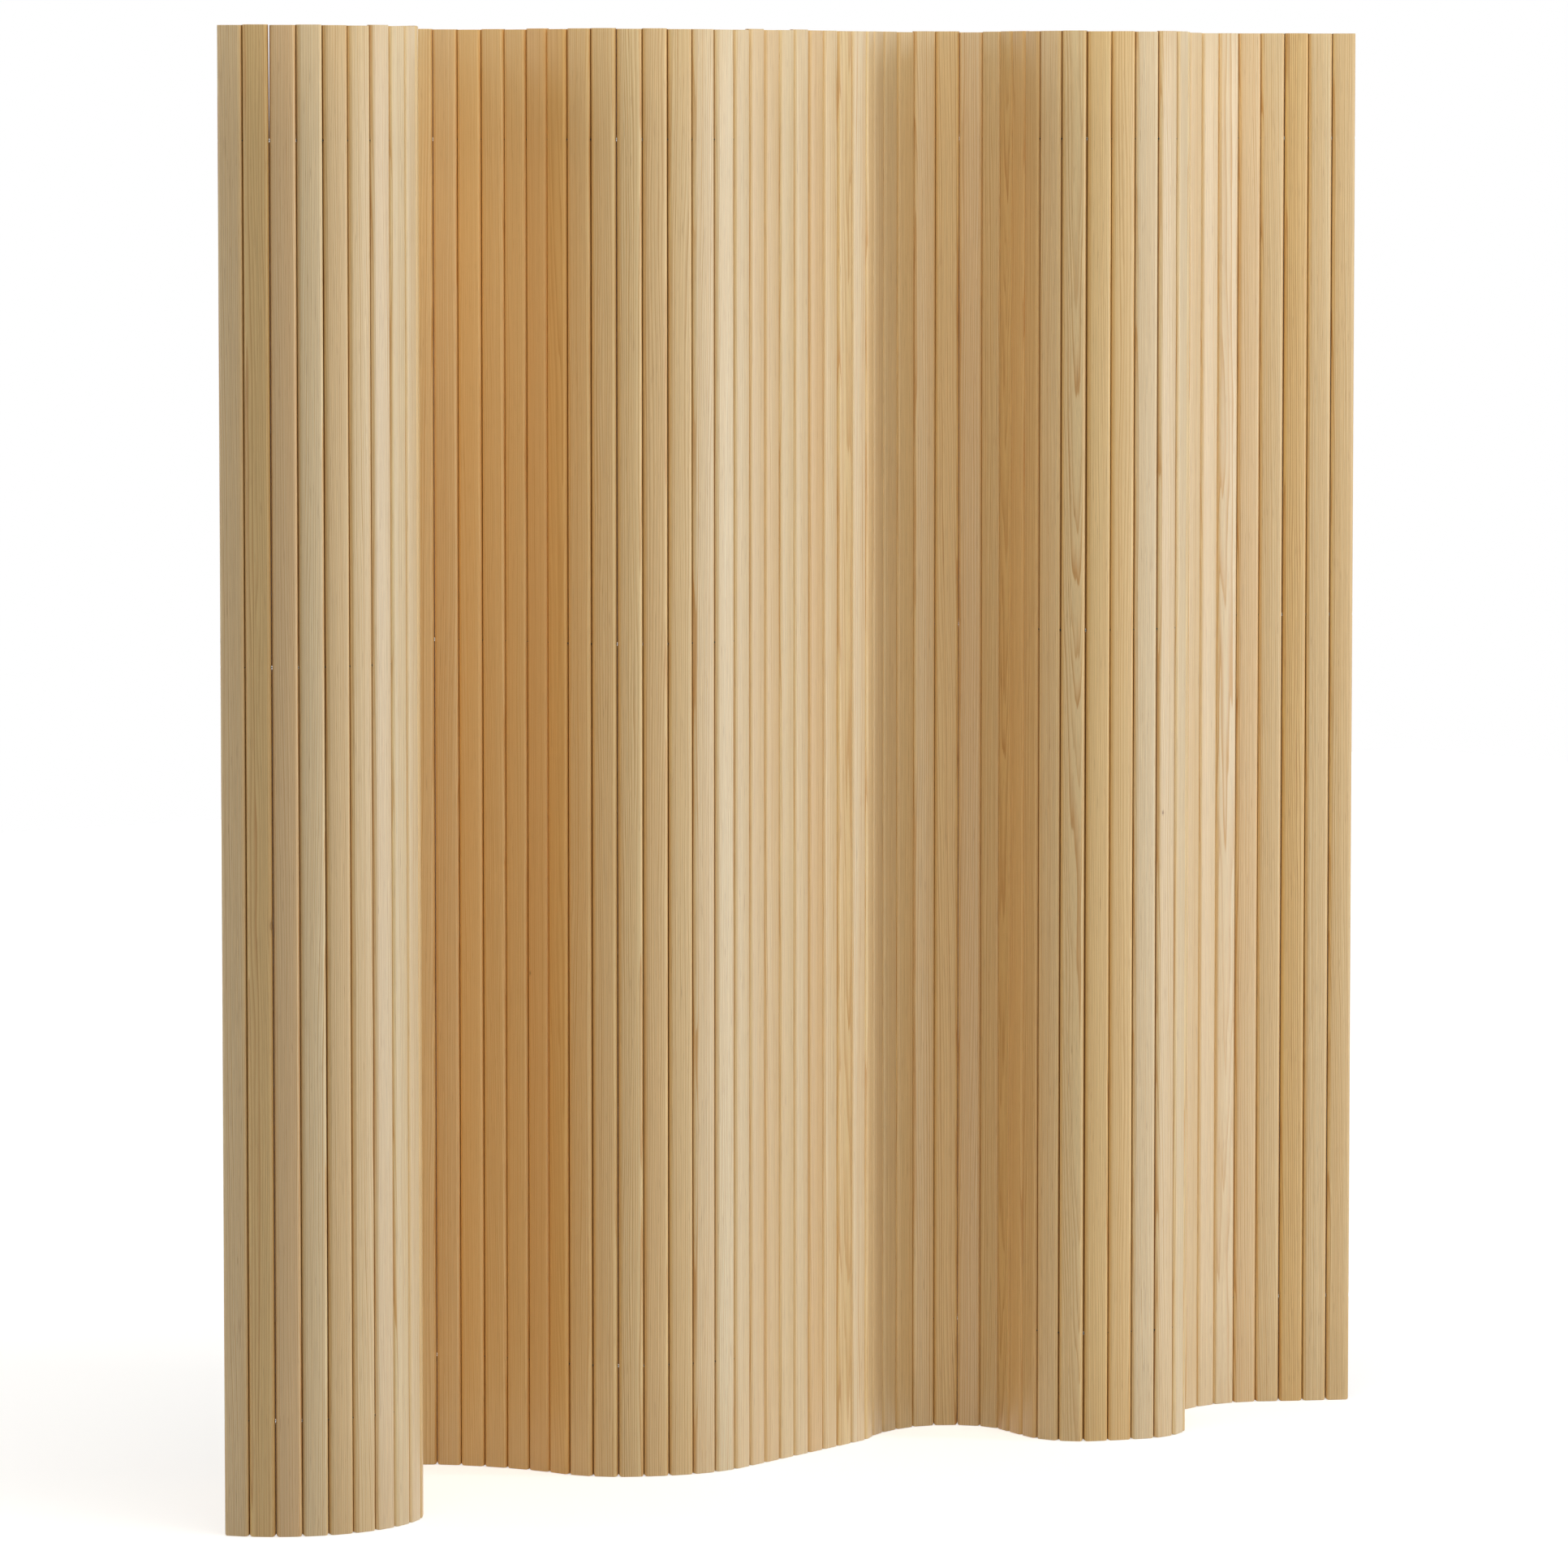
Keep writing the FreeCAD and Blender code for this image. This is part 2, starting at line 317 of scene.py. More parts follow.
# place on the slat in millimetres, size against a finger-thick knot, and depth of colour
KNOTS = {
    2: ((12.4, -3.5, 611), 1.0, 0.45),
    31: ((-9.0, -5.0, 522), 0.35, 0.5),
    65: ((-6.5, -5.0, 671), 0.35, 0.85),
}
NO_KNOT = ((900.0, 900.0, 0.0), 0.35, 0.0)
# slats counted from the run's first edge: those sawn beside the pith, and those whose tone stands out. The
# tone is partly the wood's own and partly painted light: the cream set holds the slats in the window's
# light, made paler as a painted sheen, and the tan set holds many slats in shade, made darker as painted
# shade
ARCHED = {19, 32, 47, 57, 61, 69, 75}
CREAM_AND_SHEEN = {4, 7, 8, 9, 38, 39, 40, 41, 43, 44, 46, 48, 64, 65, 66, 72, 73, 74, 75}
TAN_AND_SHADE = {2, 32, 36, 52, 54, 57, 58, 59, 62, 63, 70, 78}
PINKISH = {3, 31, 45, 55, 76}
# painted warm light on slats in the screen's hollows, standing in for the light that the slats bounce to
# each other there: how much of it each of these slats gets
HOLLOW_BOUNCE_GLOW = {
    26: 0.5,
    27: 0.55,
    28: 1.0,
    29: 0.8,
    30: 0.8,
    31: 0.8,
    32: 0.9,
    33: 0.6,
    34: 0.3,
    58: 0.3,
    63: 0.3,
}
TONE_LEVELS = {"cream": 0.84, "tan": 0.16, "pinkish": 0.4, "plain": 0.45}
TONE_SPREAD = 0.14
PINK_TINT = (0.55, 1.0)
FAINT_TINT = (0.0, 0.45)
# a saw cut: how far its pith wanders to a side, in degrees, and which sides the pith can lie on, then
# the least and the most millimetres to it, and the log's largest lean against the slat, in degrees
ARCHED_CUT = (18, (90, -90), (22, 48), 1.0)
STRAIGHT_CUT = (58, (0, 180), (45, 130), 0.5)
LOG_LENGTH = 4000
print("slats with arches", len(ARCHED), "knots", len(KNOTS))


def tone_of(number):
    """Lightness of a slat's wood, from 0, tan, to 1, cream."""
    kind = "plain"
    # cream is partly a painted sheen on slats in the window's light, tan partly painted shade on slats in
    # shade
    if number in CREAM_AND_SHEEN:
        kind = "cream"
    if number in TAN_AND_SHADE:
        kind = "tan"
    if number in PINKISH:
        kind = "pinkish"
    return TONE_LEVELS[kind] + dice.uniform(-TONE_SPREAD, TONE_SPREAD)


class Board:
    """How a slat was sawn: the pith's distance and side, the log's lean against it, and its tone."""

    def __init__(self, number):
        self.tone = tone_of(number)
        self.pink = dice.uniform(*(PINK_TINT if number in PINKISH else FAINT_TINT))
        # painted warm bounce light, for slats that stand in a hollow
        self.bounce_glow = HOLLOW_BOUNCE_GLOW.get(number, 0.0)
        wander, sides, distances, lean = ARCHED_CUT if number in ARCHED else STRAIGHT_CUT
        side = math.radians(dice.uniform(-wander, wander) + dice.choice(sides))
        self.pith = Vector((math.cos(side), math.sin(side), 0)) * dice.uniform(*distances)
        self.lean_x = math.radians(dice.uniform(-lean, lean))
        self.lean_y = math.radians(dice.uniform(-lean, lean))
        self.log_height = dice.uniform(0, LOG_LENGTH)
        self.knot_place, self.knot_size, self.knot_depth = KNOTS.get(number, NO_KNOT)

    def log_place(self, point):
        """A point of the slat, in millimetres from the pith and up the log."""
        x, y, z = (c / MM for c in point)
        z_middle = z - SLAT_HEIGHT / MM / 2
        across = x + self.pith.x + z_middle * math.tan(self.lean_x)
        deep = y + self.pith.y + z_middle * math.tan(self.lean_y)
        return (across, deep, z + self.log_height)


def write_attribute(mesh, name, kind, field, value_at):
    """One value of the wood's own data on each corner point of a mesh."""
    layer = mesh.attributes.new(name, kind, "POINT")
    for vertex in mesh.vertices:
        setattr(layer.data[vertex.index], field, value_at(vertex.co))


def write_wood(mesh, board):
    """Log place, the knot, tone, tints, and how far round the long edge a point lies."""
    knot = Vector(board.knot_place)
    size = board.knot_size
    flat = (SLAT_WIDTH - SLAT_THICKNESS) / 2
    write_attribute(mesh, "log_place", "FLOAT_VECTOR", "vector", board.log_place)
    write_attribute(mesh, "from_knot", "FLOAT_VECTOR", "vector", lambda point: (point / MM - knot) / size)
    write_attribute(mesh, "knot_size", "FLOAT", "value", lambda point: size)
    write_attribute(mesh, "knot_depth", "FLOAT", "value", lambda point: board.knot_depth)
    write_attribute(mesh, "tone", "FLOAT", "value", lambda point: board.tone)
    write_attribute(mesh, "pink", "FLOAT", "value", lambda point: board.pink)
    # painted warm bounce light
    write_attribute(mesh, "bounce_glow", "FLOAT", "value", lambda point: board.bounce_glow)
    write_attribute(
        mesh,
        "round_edge",
        "FLOAT",
        "value",
        lambda point: max(0.0, abs(point.x) - flat) / (SLAT_THICKNESS / 2),
    )


# %% [markdown]
# ## All the slats
#
# Each slat is a copy of the pattern with a mesh of its own, and each is cut a fraction short, as the
# uneven line of upper ends shows. Where two slats sit tight against each other the copy is a little wider,
# so that no light shows there.

# %% Copy, vary and place the slats
OPEN_GAP = (2, 3)
OPEN_TOP = 1.1 * MM
OUTER_EASE = 0.3 * MM
UPPER_END_SHARE = 0.95
LARGEST_SHORTFALL = 1.3 * MM


def widen(mesh, slat):
    """Close the gap to a twin, which never bends, and let only the ridge of a bending edge come nearer."""
    pair_reach = (GAP - PAIR_GAP) / 2
    ridge_reach = (GAP - RIDGE_GAP) / 2
    flat_end = (SLAT_WIDTH - SLAT_THICKNESS) / 2 - MM
    ridge = SLAT_WIDTH / 2 - MM / 100
    after, reach_after = (flat_end, pair_reach) if slat.twin_after else (ridge, ridge_reach)
    before, reach_before = (flat_end, pair_reach) if slat.twin_before else (ridge, ridge_reach)
    # the last slat stands turned round, with its seats outward
    way = -1 if slat.number == len(slats) else 1
    for vertex in mesh.vertices:
        along = vertex.co.x * way
        if along > after and slat.number != len(slats):
            vertex.co.x += reach_after * way
        if along < -before and slat.number != 1:
            vertex.co.x -= reach_before * way
        # the run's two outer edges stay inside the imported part's box
        if along > flat_end and slat.number == len(slats):
            vertex.co.x -= OUTER_EASE * way
        if along < -flat_end and slat.number == 1:
            vertex.co.x += OUTER_EASE * way


def trim(mesh, slat):
    """A shorter upper end, and the gap that opens near the top."""
    short = dice.uniform(0.0, LARGEST_SHORTFALL)
    for vertex in mesh.vertices:
        if vertex.co.z > UPPER_END_SHARE * SLAT_HEIGHT:
            vertex.co.z -= short
        opening = max(0.0, (vertex.co.z - WIRE_HEIGHTS["top"]) / (SLAT_HEIGHT - WIRE_HEIGHTS["top"]))
        if slat.number == OPEN_GAP[0] and vertex.co.x > 0:
            vertex.co.x -= OPEN_TOP / 2 * opening
        if slat.number == OPEN_GAP[1] and vertex.co.x < 0:
            vertex.co.x += OPEN_TOP / 2 * opening


def make_slat(slat):
    last = slat.number == len(slats)
    pattern = end_pattern if slat.number == 1 or last else slat_pattern
    select_only(pattern)
    bpy.ops.object.duplicate()
    item = bpy.context.object
    item.data = item.data.copy() if item.data.users > 1 else item.data
    write_wood(item.data, Board(slat.number))
    widen(item.data, slat)
    trim(item.data, slat)
    turn = slat.heading + (math.pi if last else 0)
    item.data.transform(Matrix.Translation(slat.middle) @ Matrix.Rotation(turn, 4, "Z"))
    item.data.update()
    item.name = "pine_slat_%02d" % slat.number
    item.data.name = item.name
    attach(item, slat.node)
    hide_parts(slat.node)
    return item


pine_slats = [make_slat(slat) for slat in slats]
bpy.data.objects.remove(slat_pattern)
bpy.data.objects.remove(end_pattern)
print("slats placed", len(pine_slats))

# %% [markdown]
# ## The wires and their sleeves
#
# A steel wire crosses every gap at three heights. It is only seen as a dark dot with a glint between two
# bore mouths, so each moving piece carries the straight span of wire that lies in it. A crimped sleeve
# holds each end of a wire in its seat.

# %% Wire spans
WIRE_SIDES = 8
SPAN_CLEARANCE = 0.1 * MM
DOME = 0.62 * MM
WIRE_SMOOTH_ANGLE = math.radians(50)
WIRE_END_INSET = 1.6 * MM


def make_span(name, start, end, height):
    """A round rod from one gap's middle to the next, with domed ends that roll on their neighbours."""
    run = end - start
    bpy.ops.mesh.primitive_cylinder_add(
        vertices=WIRE_SIDES,
        radius=WIRE_DIAMETER / 2,
        depth=run.length - SPAN_CLEARANCE,
        location=(start + run / 2) + Vector((0, 0, height)),
        rotation=(0, math.pi / 2, math.atan2(run.y, run.x)),
    )
    span = finish_object(bpy.context.object, name)
    mesh = edit(span)
    for face in mesh.faces:
        face.select_set(len(face.verts) == WIRE_SIDES)
    bmesh.update_edit_mesh(span.data)
    bpy.ops.mesh.bevel(offset=DOME, segments=3, affect="EDGES")
    leave_edit(span)
    bpy.ops.object.shade_smooth_by_angle(angle=WIRE_SMOOTH_ANGLE)
    return span


END_TAIL = SLAT_WIDTH / 2 - WIRE_END_INSET
pieces_by_node = {}
for slat in slats:
    pieces_by_node.setdefault(slat.node, []).append(slat)

wire_spans = {level: [] for level in WIRE_HEIGHTS}
for node_name, members in pieces_by_node.items():
    first, last = members[0], members[-1]
    points = [first.along(-END_TAIL if first.number == 1 else -PITCH / 2)]
    if len(members) == 2:
        points.append(first.along(PITCH / 2))
    points.append(last.along(END_TAIL if last.number == len(slats) else PITCH / 2))
    for level, height in WIRE_HEIGHTS.items():
        for part, (start, end) in enumerate(zip(points, points[1:])):
            number = members[part].number
            span = make_span("%s_wire_span_%02d" % (level, number), start, end, height)
            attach(span, node_name)
            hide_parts(level + "_wire")
            wire_spans[level].append(span)
print("wire spans", sum(len(spans) for spans in wire_spans.values()))


# %% Crimped sleeves
SLEEVE_SIDES = 20
SLEEVE_CUT_SHARES = (-0.3, -0.15, 0, 0.15, 0.3)
WAIST_SHARE = 0.2
SQUEEZE_SHARE = 0.86
SLEEVE_ROUND = 0.35 * MM
SLEEVE_WALL = 1.35 * MM
SEAT_PLAY = 0.2 * MM
SLEEVE_SMOOTH_ANGLE = math.radians(40)
# how squarely a face has to look along the sleeve to count as one of its ends
END_FACING = 0.9
BEVELLED_END_FACING = 0.99


def make_sleeve(name, slat, side, height):
    """A short ferrule: a tube with rounded rims, squeezed to a shallow waist by the crimping pliers."""
    bpy.ops.mesh.primitive_cylinder_add(
        vertices=SLEEVE_SIDES,
        radius=SLEEVE_DIAMETER / 2,
        depth=SLEEVE_LENGTH,
        rotation=(0, math.pi / 2, 0),
    )
    sleeve = finish_object(bpy.context.object, name)
    for share in SLEEVE_CUT_SHARES:
        edit(sleeve)
        bpy.ops.mesh.select_all(action="SELECT")
        bpy.ops.mesh.bisect(plane_co=(share * SLEEVE_LENGTH, 0, 0), plane_no=(1, 0, 0))
        leave_edit(sleeve)
    mesh = edit(sleeve)
    for vertex in mesh.verts:
        if abs(vertex.co.x) < WAIST_SHARE * SLEEVE_LENGTH:
            vertex.co.y *= SQUEEZE_SHARE
    for face in mesh.faces:
        face.select_set(abs(face.normal.x) > END_FACING)
    bmesh.update_edit_mesh(sleeve.data)
    bpy.ops.mesh.bevel(offset=SLEEVE_ROUND, segments=2, affect="EDGES")
    bpy.ops.mesh.select_all(action="DESELECT")
    mesh = bmesh.from_edit_mesh(sleeve.data)
    for face in mesh.faces:
        face.select_set(abs(face.normal.x) > BEVELLED_END_FACING)
    bmesh.update_edit_mesh(sleeve.data)
    bpy.ops.mesh.inset(thickness=SLEEVE_WALL)
    bpy.ops.mesh.delete(type="FACE")
    leave_edit(sleeve)
    bpy.ops.object.shade_smooth_by_angle(angle=SLEEVE_SMOOTH_ANGLE)
    outward = SLAT_WIDTH / 2 - SEAT_DEPTH + SLEEVE_LENGTH / 2 + SEAT_PLAY
    place = slat.along(side * outward) + Vector((0, 0, height))
    sleeve.data.transform(Matrix.Translation(place) @ Matrix.Rotation(slat.heading, 4, "Z"))
    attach(sleeve, slat.node)
    return sleeve


sleeves = []
for level, height in WIRE_HEIGHTS.items():
    near = make_sleeve(level + "_near_sleeve", slats[0], -1, height)
    far = make_sleeve(level + "_far_sleeve", slats[-1], 1, height)
    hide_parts("near_end_sleeves")
    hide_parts("far_end_sleeves")
    sleeves += [near, far]
print("sleeves", len(sleeves))


# %% [markdown]
# ## Finishes
#
# Colours are given as the eye sees them on a screen and turned to linear light by one function. One more
# function adds a node with its settings and links, so that each finish reads as a recipe, line by line.

# %% Helpers for finishes
MATHS = "ShaderNodeMath"
VECTOR_MATHS = "ShaderNodeVectorMath"
ATTRIBUTE = "ShaderNodeAttribute"
PLACE = "ShaderNodeTexCoord"
NOISE = "ShaderNodeTexNoise"
RAMP = "ShaderNodeValToRGB"
BUMP = "ShaderNodeBump"
LIGHT_PATH = "ShaderNodeLightPath"
# a mix node has sockets for numbers, vectors and colours; these are the ones that it mixes colours with
MIX = "ShaderNodeMix"
SHARE, FIRST, SECOND, MIXED = 0, 6, 7, 2


def linear(hex_colour):
    """A colour written as six hex digits, as linear light."""
    channels = [int(hex_colour[start:start + 2], 16) / 255 for start in (0, 2, 4)]
    light = [c / 12.92 if c <= 0.04045 else ((c + 0.055) / 1.055) ** 2.4 for c in channels]
    return (*light, 1.0)


def grey(value):
    """An even grey of that much linear light."""
    return (value, value, value, 1.0)


def new_finish(name):
    """A material with the shader and the output that each new node tree starts with."""
    finish = bpy.data.materials.new(name)
    finish.use_nodes = True
    return finish


def connect(owner, node, values):
    """Give a node's inputs their values, or link them to an output of another node."""
    for key, value in values.items():
        if hasattr(value, "is_linked"):
            owner.node_tree.links.new(value, node.inputs[key])
        else:
            node.inputs[key].default_value = value


def add(owner, kind, values=None, output=0, stops=(), **settings):
    """A node with its settings, its inputs and a ramp's stops; one of its outputs comes back."""
    node = owner.node_tree.nodes.new(kind)
    for name, value in settings.items():
        setattr(node, name, value)
    connect(owner, node, values or {})
    if stops:
        elements = node.color_ramp.elements
        while len(elements) < len(stops):
            elements.new(0.5)
        for element, (place, colour) in zip(elements, stops):
            element.position = place
            element.color = colour
    return node.outputs[output]


# %% [markdown]
# Pine is a pale wood with clear growth rings: each ring starts pale, darkens slowly to an orange-brown
# late wood and then stops sharply. Sawn through, the rings become the slats' lines and arches. Fine
# fibres run up the slat, short dark resin streaks lie along them, and a clear satin lacquer gives the
# slats a soft sheen. Between two slats the colour is painted richer and then dark: painted bounce light on
# the rounded edges and painted shade deep in the groove, which draws the screen's thin brown lines.
#
# A picture of wood would repeat itself over eighty slats. Here each slat reads its own place in its log, so
# the recipe starts with the patterns that a log has all through, which are long, because a tree grows up.

# %% The patterns in the log
# how many fit in a millimetre across the log, deep in it and up it, then the noise's detail and roughness
LOG_PATTERNS = {
    "wander": ((0.03, 0.03, 0.0013), 3.0, 0.55),
    "ripple": ((0.16, 0.16, 0.003), 2.0, 0.5),
    "fibre": ((2.6, 2.6, 0.018), 3.0, 0.65),
    "fine_fibre": ((6.5, 6.5, 0.05), 2.0, 0.5),
    "streak": ((1.7, 1.7, 0.035), 1.0, 0.4),
    "cloud": ((0.05, 0.05, 0.003), 2.0, 0.5),
}

pine = new_finish("lacquered_pine")
log = add(pine, ATTRIBUTE, output="Vector", attribute_name="log_place")
pattern_of = {}
for name, (per_mm, detail, roughness) in LOG_PATTERNS.items():
    place = add(pine, VECTOR_MATHS, {0: log, 1: per_mm}, operation="MULTIPLY")
    inputs = {"Vector": place, "Scale": 1.0, "Detail": detail, "Roughness": roughness}
    pattern_of[name] = add(pine, NOISE, inputs)
print("patterns in the log", len(pattern_of))

# %% A knot's place
# fibres flow past a knot in a long oval, so distances from it count for less up the log
KNOT_OVAL = (1.0, 1.0, 0.42)
KNOT_BEND = 9.0
KNOT_SOFTNESS = 2.0

from_knot = add(pine, ATTRIBUTE, output="Vector", attribute_name="from_knot")
knot_size = add(pine, ATTRIBUTE, output="Fac", attribute_name="knot_size")
knot_place = add(pine, VECTOR_MATHS, {0: from_knot, 1: KNOT_OVAL}, operation="MULTIPLY")
knot_distance = add(pine, VECTOR_MATHS, {0: knot_place}, "Value", operation="LENGTH")
knot_bend = add(pine, MATHS, {0: knot_size, 1: KNOT_BEND}, operation="MULTIPLY")
knot_reach = add(pine, MATHS, {0: knot_distance, 1: KNOT_SOFTNESS}, operation="ADD")
knot_push = add(pine, MATHS, {0: knot_bend, 1: knot_reach}, operation="DIVIDE")
print("rings at a knot's middle bend out by", KNOT_BEND / KNOT_SOFTNESS, "mm for the largest knot")

# %% Growth rings
# The rings aren't perfect circles: a slow wander up the log and a ripple move them by some millimetres,
# and they bend out around a knot. There are wide rings in good years and narrow ones in bad years.
WANDER_REACH = 13.0
RIPPLE_REACH = 1.6
GOOD_YEARS_PER_MM = 0.11
RINGS_PER_MM = 0.64
GOOD_YEARS_REACH = 3.2

log_plan = add(pine, VECTOR_MATHS, {0: log, 1: (1.0, 1.0, 0.0)}, operation="MULTIPLY")
radius = add(pine, VECTOR_MATHS, {0: log_plan}, "Value", operation="LENGTH")
radius = add(pine, MATHS, {0: pattern_of["wander"], 1: WANDER_REACH, 2: radius}, operation="MULTIPLY_ADD")
radius = add(pine, MATHS, {0: pattern_of["ripple"], 1: RIPPLE_REACH, 2: radius}, operation="MULTIPLY_ADD")
radius = add(pine, MATHS, {0: radius, 1: knot_push}, operation="ADD")

year_place = add(pine, MATHS, {0: radius, 1: GOOD_YEARS_PER_MM}, operation="MULTIPLY")
years = add(pine, "ShaderNodeCombineXYZ", {0: year_place})
good_years = add(pine, NOISE, {"Vector": years, "Scale": 1.0, "Detail": 2.0, "Roughness": 0.6})
extra = add(pine, MATHS, {0: good_years, 1: GOOD_YEARS_REACH}, operation="MULTIPLY")
ring_place = add(pine, MATHS, {0: radius, 1: RINGS_PER_MM, 2: extra}, operation="MULTIPLY_ADD")
ring = add(pine, MATHS, {0: ring_place}, operation="FRACT")

# how dark a ring is, from 0 at its inner side to 1 at the sharp end of its late wood
RING_STOPS = [
    (0.0, grey(0.25)),
    (0.06, grey(0.02)),
    (0.42, grey(0.08)),
    (0.74, grey(0.55)),
    (0.9, grey(1.0)),
    (0.97, grey(0.9)),
    (1.0, grey(0.25)),
]
# some rings are strongly marked and others hardly show
FAINTEST_RING = 0.45

late = add(pine, RAMP, {0: ring}, stops=RING_STOPS)
ring_number = add(pine, MATHS, {0: ring_place}, operation="FLOOR")
marked = add(pine, "ShaderNodeTexWhiteNoise", {"W": ring_number}, "Value", noise_dimensions="1D")
marking = {0: marked, 1: 1.0 - FAINTEST_RING, 2: FAINTEST_RING}
ring_strength = add(pine, MATHS, marking, operation="MULTIPLY_ADD")
late = add(pine, MATHS, {0: late, 1: ring_strength}, operation="MULTIPLY")
print("mean ring width", round(1 / RINGS_PER_MM, 2), "mm")

# %% The wood's colours
# early and late wood each run from a tan slat's colour to a cream one's
EARLY_WOOD = ("E7CA8E", "F1E5C8")
LATE_WOOD = ("BC8848", "D4AC70")
FIBRE_STOPS = [(0.3, grey(0.83)), (0.7, grey(1.09))]
RESIN_STOPS = [(0.0, grey(0)), (0.67, grey(0)), (0.77, grey(1)), (1.0, grey(1))]
CLOUD_STOPS = [(0.35, grey(0.0)), (0.7, grey(0.55))]

tone = add(pine, ATTRIBUTE, output="Fac", attribute_name="tone")
pink = add(pine, ATTRIBUTE, output="Fac", attribute_name="pink")
# painted warm bounce light of the slats in the hollows
bounce_glow = add(pine, ATTRIBUTE, output="Fac", attribute_name="bounce_glow")
woods = []
for tan, cream in (EARLY_WOOD, LATE_WOOD):
    ends = {SHARE: tone, FIRST: linear(tan), SECOND: linear(cream)}
    woods.append(add(pine, MIX, ends, MIXED, data_type="RGBA"))
colour = add(pine, MIX, {SHARE: late, FIRST: woods[0], SECOND: woods[1]}, MIXED, data_type="RGBA")

fibre_shade = add(pine, RAMP, {0: pattern_of["fibre"]}, stops=FIBRE_STOPS)
shaded = {SHARE: 1.0, FIRST: colour, SECOND: fibre_shade}
colour = add(pine, MIX, shaded, MIXED, data_type="RGBA", blend_type="MULTIPLY")

# tints that lie over the wood: where each is, how strong it gets, and its colour
resin = add(pine, RAMP, {0: pattern_of["streak"]}, stops=RESIN_STOPS)
cloud = add(pine, RAMP, {0: pattern_of["cloud"]}, stops=CLOUD_STOPS)
TINTS = [
    (resin, 0.45, "8A5327"),
    (cloud, 0.35, "E4BE84"),
    (pink, 0.30, "DDAE86"),
    # painted warm light bounced into the hollows, not a colour of the wood
    (bounce_glow, 0.55, "F5C67C"),
]
for where, strongest, tint in TINTS:
    share = add(pine, MATHS, {0: where, 1: strongest}, operation="MULTIPLY")
    colour = add(pine, MIX, {SHARE: share, FIRST: colour, SECOND: linear(tint)}, MIXED, data_type="RGBA")
print("tints", len(TINTS))

# %% Edges and knots
# Painted light and shade: the rounded edges are painted a little redder and brighter, standing in for warm
# light bounced around the groove, and deep between two slats the ridge is painted dark brown, the shade
# inside the gap. 0 is the flat face and 1 the edge's ridge.
EDGE_LIGHT_AND_SHADE_STOPS = [
    (0.0, grey(1.0)),
    (0.88, (1.06, 1.0, 0.82, 1.0)),
    (0.92, (0.9, 0.76, 0.55, 1.0)),
    (0.97, (0.50, 0.35, 0.21, 1.0)),
    (1.0, (0.42, 0.29, 0.16, 1.0)),
]
# a knot is a dark rim around tight brown rings
KNOT_RING_TURN = 3.5
KNOT_RADIUS = 6.0
KNOT_STOPS = [(0.0, grey(1)), (0.28, grey(1)), (0.42, grey(0.35)), (0.9, grey(0))]
KNOT_BROWNS = ("5E3315", "8C5528")

round_edge = add(pine, ATTRIBUTE, output="Fac", attribute_name="round_edge")
# painted light on the rounded edges and painted shade in the gap between slats
edge_light_and_shade = add(pine, RAMP, {0: round_edge}, stops=EDGE_LIGHT_AND_SHADE_STOPS)
edge_shaded_mix = {SHARE: 1.0, FIRST: colour, SECOND: edge_light_and_shade}
colour = add(pine, MIX, edge_shaded_mix, MIXED, data_type="RGBA", blend_type="MULTIPLY")

knot_turn = add(pine, MATHS, {0: knot_distance, 1: KNOT_RING_TURN}, operation="MULTIPLY")
knot_rings = add(pine, MATHS, {0: knot_turn}, operation="SINE")
knot_share = add(pine, MATHS, {0: knot_rings, 1: 0.5, 2: 0.5}, operation="MULTIPLY_ADD")
browns = {SHARE: knot_share, FIRST: linear(KNOT_BROWNS[0]), SECOND: linear(KNOT_BROWNS[1])}
knot_colour = add(pine, MIX, browns, MIXED, data_type="RGBA")
knot_rim = add(pine, MATHS, {0: knot_distance, 1: KNOT_RADIUS}, operation="DIVIDE")
knot_mask = add(pine, RAMP, {0: knot_rim}, stops=KNOT_STOPS)
knot_depth = add(pine, ATTRIBUTE, output="Fac", attribute_name="knot_depth")
knot_cover = add(pine, MATHS, {0: knot_mask, 1: knot_depth}, operation="MULTIPLY")
colour = add(pine, MIX, {SHARE: knot_cover, FIRST: colour, SECOND: knot_colour}, MIXED, data_type="RGBA")
print("nodes for colour", len(pine.node_tree.nodes))

# %% Relief and lacquer
# the late wood and the fibres stand a hair proud under the lacquer, which breaks up its sheen
PINE_RELIEF = 0.12 * MM
FINE_SHARE = 0.5

fine = add(pine, MATHS, {0: pattern_of["fine_fibre"], 1: FINE_SHARE}, operation="MULTIPLY")
relief = add(pine, MATHS, {0: late, 1: 1.0 - FINE_SHARE, 2: fine}, operation="MULTIPLY_ADD")
bump = add(pine, BUMP, {"Strength": 0.22, "Distance": PINE_RELIEF, "Height": relief})
rough = add(pine, MATHS, {0: pattern_of["fine_fibre"], 1: 0.16, 2: 0.36}, operation="MULTIPLY_ADD")
lacquered = {
    "Base Color": colour,
    "Roughness": rough,
    "Normal": bump,
    "Coat Weight": 0.3,
    "Coat Roughness": 0.45,
    "Specular IOR Level": 0.5,
}
connect(pine, pine.node_tree.nodes["Principled BSDF"], lacquered)
for item in pine_slats:
    item.data.materials.clear()
    item.data.materials.append(pine)
print("pine nodes", len(pine.node_tree.nodes))

# %% [markdown]
# The wire is drawn steel, dull and dark in colour, with fine scratches along it from the drawing die. The
# sleeves are aluminium, duller, with the marks of the pliers' jaws across them.

# %% Wire steel
# how many scratches fit in a millimetre: they are long and lie level, as the wires do
SCRATCHES_PER_MM = (0.9, 0.9, 5.2)
SCRATCH_DEPTH = 0.05 * MM

